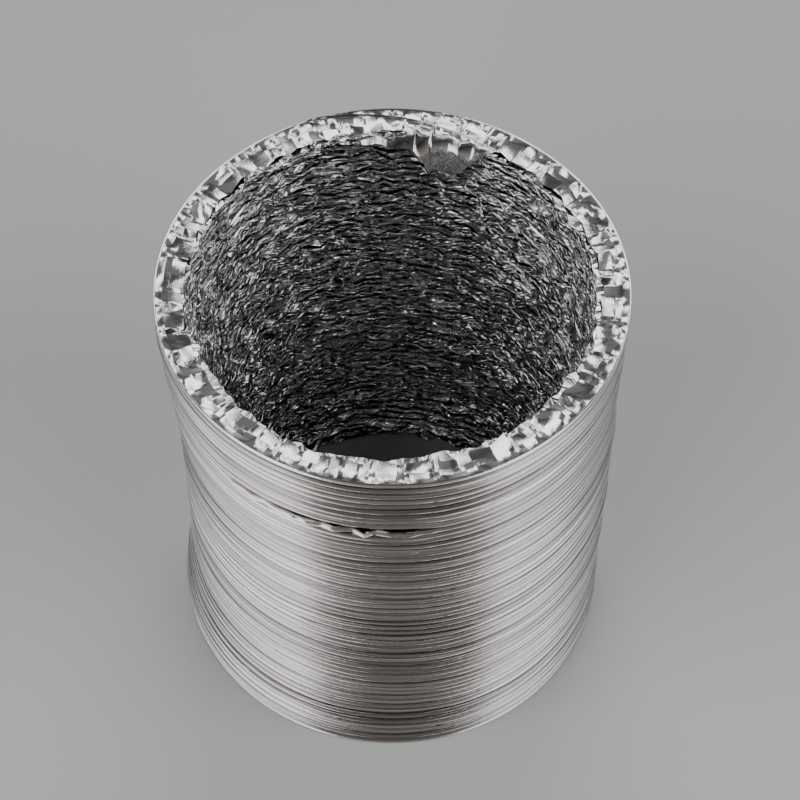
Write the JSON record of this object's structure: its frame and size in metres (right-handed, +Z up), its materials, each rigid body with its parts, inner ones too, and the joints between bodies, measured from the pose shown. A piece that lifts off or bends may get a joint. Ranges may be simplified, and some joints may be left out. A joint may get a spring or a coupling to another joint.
{
  "type": "flexible air duct",
  "caption": "Flexible foil air duct on a spring-wire coil, closed like bellows; either side of its wall opens like a fan, so it bends and stretches.",
  "frame": {"origin": "centre of the bottom end of the closed duct, on the surface it stands on", "axes": "+Z up along the duct to its open top end; +X to the right and -Y towards the viewer; the loose foil strip end hangs at +Y"},
  "size_m": [0.206, 0.206, 0.225],
  "materials": {
    "outer_foil": "satin, finely creased",
    "inner_foil": "crumpled, in shade",
    "end_foil": "bright, crumpled",
    "wire": "drawn spring steel"
  },
  "bodies": {
    "section_01": {"outer_foil_01": "outer_foil", "wire_coil_01": "wire", "inner_foil_01": "inner_foil", "bottom_end_flap": "end_foil"},
    "leaf_01": {"fold_leaf_01": "outer_foil"},
    "section_02": {"outer_foil_02": "outer_foil", "wire_coil_02": "wire", "inner_foil_02": "inner_foil"},
    "leaf_02": {"fold_leaf_02": "outer_foil"},
    "section_03": {"outer_foil_03": "outer_foil", "wire_coil_03": "wire", "inner_foil_03": "inner_foil"},
    "leaf_03": {"fold_leaf_03": "outer_foil"},
    "section_04": {"outer_foil_04": "outer_foil", "wire_coil_04": "wire", "inner_foil_04": "inner_foil"},
    "leaf_04": {"fold_leaf_04": "outer_foil"},
    "section_05": {"outer_foil_05": "outer_foil", "wire_coil_05": "wire", "inner_foil_05": "inner_foil"},
    "leaf_05": {"fold_leaf_05": "outer_foil"},
    "section_06": {"outer_foil_06": "outer_foil", "wire_coil_06": "wire", "inner_foil_06": "inner_foil"},
    "leaf_06": {"fold_leaf_06": "outer_foil"},
    "section_07": {"outer_foil_07": "outer_foil", "wire_coil_07": "wire", "inner_foil_07": "inner_foil"},
    "leaf_07": {"fold_leaf_07": "outer_foil"},
    "section_08": {"outer_foil_08": "outer_foil", "wire_coil_08": "wire", "inner_foil_08": "inner_foil"},
    "leaf_08": {"fold_leaf_08": "outer_foil"},
    "section_09": {"outer_foil_09": "outer_foil", "wire_coil_09": "wire", "inner_foil_09": "inner_foil"},
    "leaf_09": {"fold_leaf_09": "outer_foil"},
    "section_10": {"outer_foil_10": "outer_foil", "wire_coil_10": "wire", "inner_foil_10": "inner_foil"},
    "leaf_10": {"fold_leaf_10": "outer_foil"},
    "section_11": {"outer_foil_11": "outer_foil", "wire_coil_11": "wire", "inner_foil_11": "inner_foil"},
    "leaf_11": {"fold_leaf_11": "outer_foil"},
    "section_12": {"outer_foil_12": "outer_foil", "wire_coil_12": "wire", "inner_foil_12": "inner_foil"},
    "leaf_12": {"fold_leaf_12": "outer_foil"},
    "section_13": {"outer_foil_13": "outer_foil", "wire_coil_13": "wire", "inner_foil_13": "inner_foil"},
    "leaf_13": {"fold_leaf_13": "outer_foil"},
    "section_14": {"outer_foil_14": "outer_foil", "wire_coil_14": "wire", "inner_foil_14": "inner_foil", "top_end_flap": "end_foil", "loose_strip_end": "end_foil"}
  },
  "joints": [
    {"name": "left_opening_01", "type": "hinge", "parent": "section_01", "child": "leaf_01", "pos_m": [0.103, 0, 0.01629], "axis": [0, 1, 0], "range_deg": [0, 13.8]},
    {"name": "right_opening_01", "type": "hinge", "parent": "leaf_01", "child": "section_02", "pos_m": [-0.103, 0, 0.01649], "axis": [0, -1, 0], "range_deg": [0, 13.8]},
    {"name": "left_opening_02", "type": "hinge", "parent": "leaf_02", "child": "section_03", "pos_m": [0.103, 0, 0.03247], "axis": [0, 1, 0], "range_deg": [0, 13.8]},
    {"name": "right_opening_02", "type": "hinge", "parent": "section_02", "child": "leaf_02", "pos_m": [-0.103, 0, 0.03227], "axis": [0, -1, 0], "range_deg": [0, 13.8]},
    {"name": "left_opening_03", "type": "hinge", "parent": "section_03", "child": "leaf_03", "pos_m": [0.103, 0, 0.04826], "axis": [0, 1, 0], "range_deg": [0, 13.8]},
    {"name": "right_opening_03", "type": "hinge", "parent": "leaf_03", "child": "section_04", "pos_m": [-0.103, 0, 0.04846], "axis": [0, -1, 0], "range_deg": [0, 13.8]},
    {"name": "left_opening_04", "type": "hinge", "parent": "leaf_04", "child": "section_05", "pos_m": [0.103, 0, 0.06444], "axis": [0, 1, 0], "range_deg": [0, 13.8]},
    {"name": "right_opening_04", "type": "hinge", "parent": "section_04", "child": "leaf_04", "pos_m": [-0.103, 0, 0.06424], "axis": [0, -1, 0], "range_deg": [0, 13.8]},
    {"name": "left_opening_05", "type": "hinge", "parent": "section_05", "child": "leaf_05", "pos_m": [0.103, 0, 0.08023], "axis": [0, 1, 0], "range_deg": [0, 13.8]},
    {"name": "right_opening_05", "type": "hinge", "parent": "leaf_05", "child": "section_06", "pos_m": [-0.103, 0, 0.08043], "axis": [0, -1, 0], "range_deg": [0, 13.8]},
    {"name": "left_opening_06", "type": "hinge", "parent": "leaf_06", "child": "section_07", "pos_m": [0.103, 0, 0.09641], "axis": [0, 1, 0], "range_deg": [0, 13.8]},
    {"name": "right_opening_06", "type": "hinge", "parent": "section_06", "child": "leaf_06", "pos_m": [-0.103, 0, 0.09621], "axis": [0, -1, 0], "range_deg": [0, 13.8]},
    {"name": "left_opening_07", "type": "hinge", "parent": "section_07", "child": "leaf_07", "pos_m": [0.103, 0, 0.1122], "axis": [0, 1, 0], "range_deg": [0, 13.8]},
    {"name": "right_opening_07", "type": "hinge", "parent": "leaf_07", "child": "section_08", "pos_m": [-0.103, 0, 0.1124], "axis": [0, -1, 0], "range_deg": [0, 13.8]},
    {"name": "left_opening_08", "type": "hinge", "parent": "leaf_08", "child": "section_09", "pos_m": [0.103, 0, 0.12839], "axis": [0, 1, 0], "range_deg": [0, 13.8]},
    {"name": "right_opening_08", "type": "hinge", "parent": "section_08", "child": "leaf_08", "pos_m": [-0.103, 0, 0.12819], "axis": [0, -1, 0], "range_deg": [0, 13.8]},
    {"name": "left_opening_09", "type": "hinge", "parent": "section_09", "child": "leaf_09", "pos_m": [0.103, 0, 0.14417], "axis": [0, 1, 0], "range_deg": [0, 13.8]},
    {"name": "right_opening_09", "type": "hinge", "parent": "leaf_09", "child": "section_10", "pos_m": [-0.103, 0, 0.14437], "axis": [0, -1, 0], "range_deg": [0, 13.8]},
    {"name": "left_opening_10", "type": "hinge", "parent": "leaf_10", "child": "section_11", "pos_m": [0.103, 0, 0.16036], "axis": [0, 1, 0], "range_deg": [0, 13.8]},
    {"name": "right_opening_10", "type": "hinge", "parent": "section_10", "child": "leaf_10", "pos_m": [-0.103, 0, 0.16016], "axis": [0, -1, 0], "range_deg": [0, 13.8]},
    {"name": "left_opening_11", "type": "hinge", "parent": "section_11", "child": "leaf_11", "pos_m": [0.103, 0, 0.17614], "axis": [0, 1, 0], "range_deg": [0, 13.8]},
    {"name": "right_opening_11", "type": "hinge", "parent": "leaf_11", "child": "section_12", "pos_m": [-0.103, 0, 0.17634], "axis": [0, -1, 0], "range_deg": [0, 13.8]},
    {"name": "left_opening_12", "type": "hinge", "parent": "leaf_12", "child": "section_13", "pos_m": [0.103, 0, 0.19233], "axis": [0, 1, 0], "range_deg": [0, 13.8]},
    {"name": "right_opening_12", "type": "hinge", "parent": "section_12", "child": "leaf_12", "pos_m": [-0.103, 0, 0.19213], "axis": [0, -1, 0], "range_deg": [0, 13.8]},
    {"name": "left_opening_13", "type": "hinge", "parent": "section_13", "child": "leaf_13", "pos_m": [0.103, 0, 0.20811], "axis": [0, 1, 0], "range_deg": [0, 13.8]},
    {"name": "right_opening_13", "type": "hinge", "parent": "leaf_13", "child": "section_14", "pos_m": [-0.103, 0, 0.20831], "axis": [0, -1, 0], "range_deg": [0, 13.8]}
  ],
  "couplings": [
    {"joint": "left_opening_02", "follows": "left_opening_01", "ratio": 1},
    {"joint": "right_opening_02", "follows": "right_opening_01", "ratio": 1},
    {"joint": "left_opening_03", "follows": "left_opening_01", "ratio": 1},
    {"joint": "right_opening_03", "follows": "right_opening_01", "ratio": 1},
    {"joint": "left_opening_04", "follows": "left_opening_01", "ratio": 1},
    {"joint": "right_opening_04", "follows": "right_opening_01", "ratio": 1},
    {"joint": "left_opening_05", "follows": "left_opening_01", "ratio": 1},
    {"joint": "right_opening_05", "follows": "right_opening_01", "ratio": 1},
    {"joint": "left_opening_06", "follows": "left_opening_01", "ratio": 1},
    {"joint": "right_opening_06", "follows": "right_opening_01", "ratio": 1},
    {"joint": "left_opening_07", "follows": "left_opening_01", "ratio": 1},
    {"joint": "right_opening_07", "follows": "right_opening_01", "ratio": 1},
    {"joint": "left_opening_08", "follows": "left_opening_01", "ratio": 1},
    {"joint": "right_opening_08", "follows": "right_opening_01", "ratio": 1},
    {"joint": "left_opening_09", "follows": "left_opening_01", "ratio": 1},
    {"joint": "right_opening_09", "follows": "right_opening_01", "ratio": 1},
    {"joint": "left_opening_10", "follows": "left_opening_01", "ratio": 1},
    {"joint": "right_opening_10", "follows": "right_opening_01", "ratio": 1},
    {"joint": "left_opening_11", "follows": "left_opening_01", "ratio": 1},
    {"joint": "right_opening_11", "follows": "right_opening_01", "ratio": 1},
    {"joint": "left_opening_12", "follows": "left_opening_01", "ratio": 1},
    {"joint": "right_opening_12", "follows": "right_opening_01", "ratio": 1},
    {"joint": "left_opening_13", "follows": "left_opening_01", "ratio": 1},
    {"joint": "right_opening_13", "follows": "right_opening_01", "ratio": 1}
  ]
}
